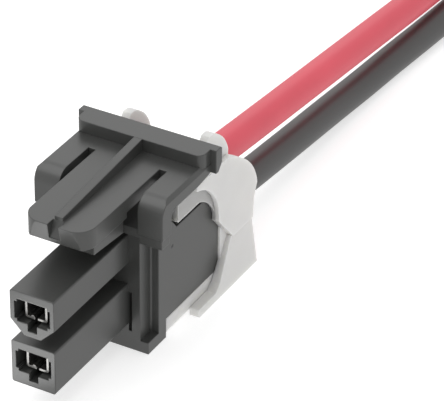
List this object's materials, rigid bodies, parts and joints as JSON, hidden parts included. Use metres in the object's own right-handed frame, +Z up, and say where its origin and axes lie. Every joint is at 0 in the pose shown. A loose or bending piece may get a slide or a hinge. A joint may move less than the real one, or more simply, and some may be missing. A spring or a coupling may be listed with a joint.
{
  "type": "wire-to-board cable assembly",
  "caption": "Black wire-to-board receptacle with stacked silos, lever latch and white terminal retainer, on red and black stranded leads with tinned ends.",
  "frame": {"origin": "centre of the connector's base, without the leads", "axes": "+X to the right seen from behind the mating end, +Y back along the wires, +Z up towards the latch; the mating end faces -Y"},
  "size_m": [0.0154, 0.168, 0.0201],
  "materials": {
    "housing": "fine moulded texture, slightly satin",
    "retainer": "natural white, slightly translucent, satin",
    "terminal": "bright tin plating on stamped sheet",
    "tinned_strand": "tinned copper strands",
    "red_insulation": "soft vinyl, satin",
    "black_insulation": "soft vinyl, satin"
  },
  "bodies": {
    "root": {"receptacle_housing": "housing", "terminal_retainer": "retainer", "upper_terminal": "terminal", "lower_terminal": "terminal", "upper_conductor": "tinned_strand", "lower_conductor": "tinned_strand", "red_wire": "red_insulation", "black_wire": "black_insulation", "red_tinned_end": "tinned_strand", "black_tinned_end": "tinned_strand"}
  },
  "joints": []
}
